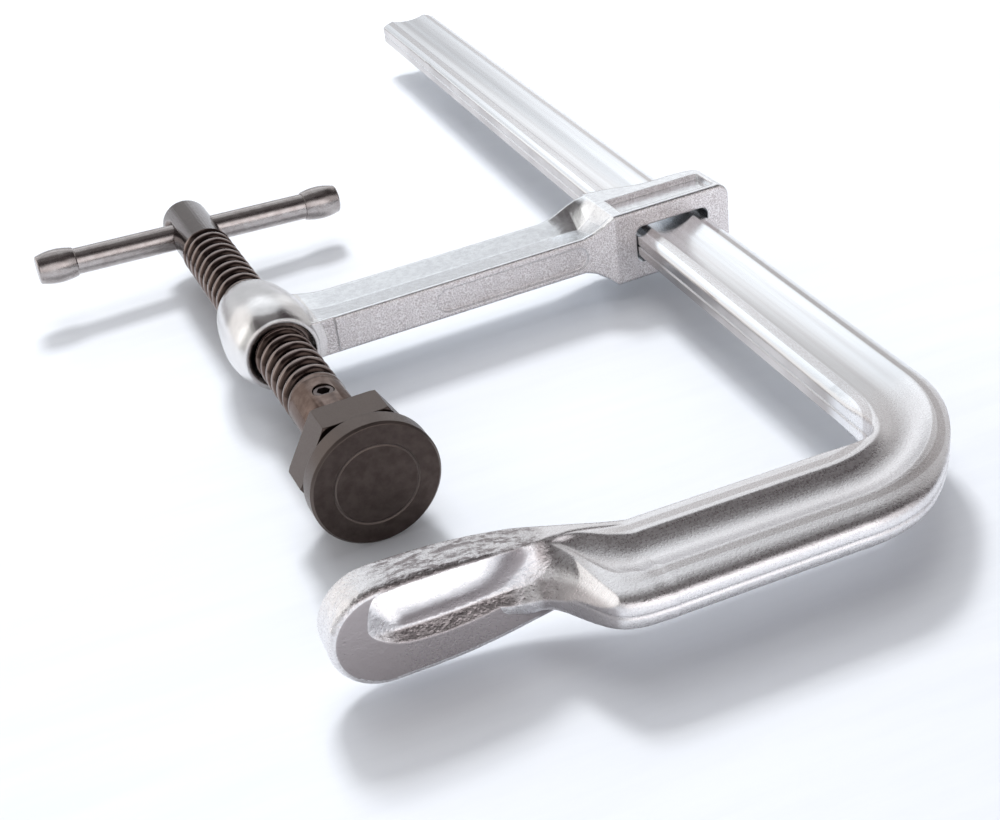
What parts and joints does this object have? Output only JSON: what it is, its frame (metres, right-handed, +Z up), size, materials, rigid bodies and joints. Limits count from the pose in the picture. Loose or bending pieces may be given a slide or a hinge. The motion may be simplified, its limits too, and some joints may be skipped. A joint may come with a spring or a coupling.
{
  "type": "welding f-clamp",
  "caption": "Forged steel F-clamp: a sliding arm on a flat profiled rail carries a coarse threaded spindle with a sliding tommy bar and a swivelling pressure plate facing a long jaw tip.",
  "frame": {"origin": "centre of the fixed jaw's clamping face, on the line of a squarely standing spindle", "axes": "+Y along the rail from the jaw to the rail's far end, +X from the spindle to the rail, +Z up out of the clamp's middle plane"},
  "size_m": [0.2507, 0.5026, 0.0416],
  "materials": {
    "bright_zinc_rail": "bright zinc-plated drawn and forged steel, satin",
    "forged_zinc_arm": "zinc-plated forging with a fine grainy skin",
    "burnished_spindle": "oiled burnished dark brown steel",
    "black_screw": "black oxide socket screw",
    "bare_steel_bar": "polished bare steel, grey brown",
    "spring_wire": "spring steel wire",
    "burnished_plate": "burnished near-black brown steel, matt"
  },
  "bodies": {
    "frame": {"rail_with_fixed_jaw": "bright_zinc_rail"},
    "slider": {"sliding_arm": "forged_zinc_arm"},
    "stud": {"ball_stud": "burnished_spindle"},
    "screw": {"spindle": "burnished_spindle", "grub_screw": "black_screw"},
    "handle": {"tommy_bar": "bare_steel_bar", "tommy_bar_cap": "bare_steel_bar"},
    "ring": {"retaining_ring": "spring_wire"},
    "pad": {"pressure_plate": "burnished_plate"}
  },
  "joints": [
    {"name": "arm_slide", "type": "slide", "parent": "frame", "child": "slider", "axis": [0, 1, 0], "range_m": [-0.024, 0.28]},
    {"name": "spindle_feed", "type": "slide", "parent": "slider", "child": "stud", "axis": [0.0555, -0.9985, 0], "range_m": [-0.039, 0.0265]},
    {"name": "spindle_turn", "type": "hinge", "parent": "stud", "child": "screw", "pos_m": [0.00475, 0.06836, 0], "axis": [0.0555, -0.9985, 0], "range_deg": [-2246, 1526]},
    {"name": "tommy_bar_slide", "type": "slide", "parent": "screw", "child": "handle", "axis": [0.9976, 0.0554, -0.0419], "range_m": [-0.0375, 0.039]},
    {"name": "pad_tilt", "type": "hinge", "parent": "stud", "child": "ring", "pos_m": [0.00475, 0.06836, 0], "axis": [0, 0, 1], "range_deg": [-8, 8]},
    {"name": "pad_spin", "type": "hinge", "parent": "ring", "child": "pad", "pos_m": [0.00475, 0.06836, 0], "axis": [0.0555, -0.9985, 0], "continuous": true}
  ],
  "couplings": [
    {"joint": "spindle_feed", "follows": "spindle_turn", "m_per_rad": 0.00099472}
  ]
}
